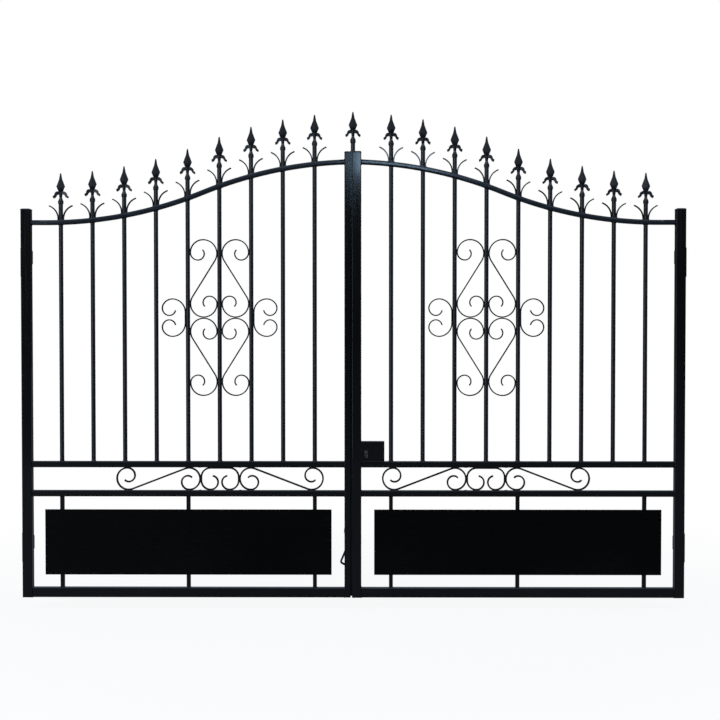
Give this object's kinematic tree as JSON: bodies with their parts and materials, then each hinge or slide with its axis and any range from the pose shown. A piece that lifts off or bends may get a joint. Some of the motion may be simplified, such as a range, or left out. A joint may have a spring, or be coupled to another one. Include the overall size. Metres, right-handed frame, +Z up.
{
  "type": "wrought iron driveway gate",
  "caption": "Two-leaf ornamental iron gate with an arched top, spear finials, scrolls and sheet kick panels; each leaf swings on wall pintles and a drop bolt slides.",
  "frame": {"origin": "middle of the wall face of the lower left pintle's plate", "axes": "+X along the gate from the left pillar to the right one, +Y back into the yard, +Z up"},
  "size_m": [2.744, 0.12, 1.997],
  "materials": {
    "black_paint": "gloss black enamel on steel",
    "cast_spear_paint": "gloss black enamel on castings",
    "sheet_paint": "satin black enamel on sheet",
    "nickel": "nickel-plated key cylinder"
  },
  "bodies": {
    "wall_pintles": {"left_lower_pintle": "black_paint", "left_upper_pintle": "black_paint", "right_lower_pintle": "black_paint", "right_upper_pintle": "black_paint"},
    "left_leaf": {"left_hinge_stile": "black_paint", "left_hinge_stile_cap": "black_paint", "left_meeting_stile": "black_paint", "left_meeting_stile_cap": "black_paint", "left_top_rail": "black_paint", "left_upper_mid_rail": "black_paint", "left_lower_mid_rail": "black_paint", "left_bottom_rail": "black_paint", "left_bars": "black_paint", "left_spears": "cast_spear_paint", "left_barbs": "black_paint", "left_tall_scrolls": "black_paint", "left_side_scrolls": "black_paint", "left_row_scrolls": "black_paint", "left_panel_bars": "black_paint", "left_kick_panel": "sheet_paint", "left_hinge_eyes": "black_paint", "drop_bolt_guides": "black_paint"},
    "right_leaf": {"right_hinge_stile": "black_paint", "right_hinge_stile_cap": "black_paint", "right_meeting_stile": "black_paint", "right_meeting_stile_cap": "black_paint", "right_top_rail": "black_paint", "right_upper_mid_rail": "black_paint", "right_lower_mid_rail": "black_paint", "right_bottom_rail": "black_paint", "right_bars": "black_paint", "right_spears": "cast_spear_paint", "right_barbs": "black_paint", "right_tall_scrolls": "black_paint", "right_side_scrolls": "black_paint", "right_row_scrolls": "black_paint", "right_panel_bars": "black_paint", "right_kick_panel": "sheet_paint", "right_hinge_eyes": "black_paint", "lock_box": "black_paint", "lock_cylinder": "nickel", "cover_strip": "black_paint", "centre_spear": "cast_spear_paint", "centre_spear_bar": "black_paint"},
    "drop_bolt": {"drop_bolt": "black_paint"}
  },
  "joints": [
    {"name": "left_leaf_swing", "type": "hinge", "parent": "wall_pintles", "child": "left_leaf", "pos_m": [0.032, -0.019, 0], "axis": [0, 0, 1], "range_deg": [0, 95]},
    {"name": "right_leaf_swing", "type": "hinge", "parent": "wall_pintles", "child": "right_leaf", "pos_m": [2.712, -0.019, 0], "axis": [0, 0, -1], "range_deg": [0, 95]},
    {"name": "drop_bolt_slide", "type": "slide", "parent": "left_leaf", "child": "drop_bolt", "axis": [0, 0, 1], "range_m": [-0.09, 0]}
  ]
}
